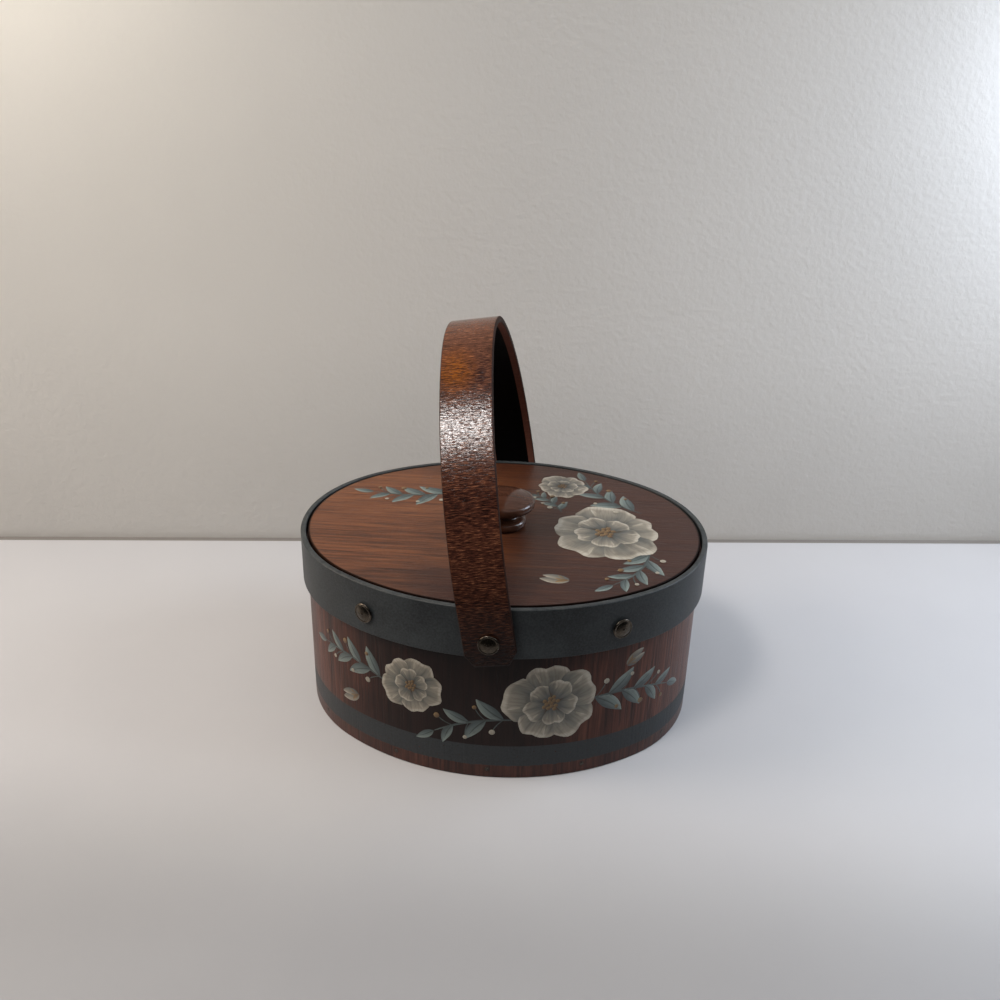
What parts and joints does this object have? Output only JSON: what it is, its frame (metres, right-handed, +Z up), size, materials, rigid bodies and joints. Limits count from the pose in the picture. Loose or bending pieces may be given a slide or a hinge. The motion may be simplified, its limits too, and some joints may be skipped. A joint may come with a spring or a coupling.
{
  "type": "oval lidded box with swing handle",
  "caption": "Oval lidded bentwood box with a painted rim band, an inset lid with a turned knob, and a riveted swing handle that folds to either end.",
  "frame": {"origin": "centre of the footprint, on the surface the box stands on", "axes": "+X along the box to the right, +Y from front to back, +Z up"},
  "size_m": [0.2536, 0.2192, 0.2479],
  "materials": {
    "wall_wood": "dark stained plywood, satin varnish",
    "base_wood": "stained plywood",
    "band_paint": "satin blue-grey paint on bent plywood",
    "handle_wood": "dark stained plywood, gloss varnish",
    "lid_wood": "stained plywood, satin varnish",
    "knob_wood": "turned wood, stained, gloss varnish",
    "brass": "antique, dulled",
    "steel": "plain, darkened"
  },
  "bodies": {
    "bucket": {"body_wall": "wall_wood", "base_panel": "base_wood", "base_brads": "steel", "rim_band": "band_paint", "band_rivets": "brass", "band_rivet_burrs": "brass", "front_handle_rivet": "brass", "rear_handle_rivet": "brass", "handle_rivet_burrs": "brass"},
    "handle": {"handle": "handle_wood"},
    "lid": {"lid_panel": "lid_wood", "lid_knob": "knob_wood", "knob_screw": "steel"}
  },
  "joints": [
    {"name": "handle_swing", "type": "hinge", "parent": "bucket", "child": "handle", "pos_m": [0, -0.099, 0.098], "axis": [0.0175, 0.9998, 0], "range_deg": [-103, 121]},
    {"name": "lid_lift", "type": "slide", "parent": "bucket", "child": "lid", "axis": [0, 0, 1], "range_m": [0, 0.033]}
  ]
}
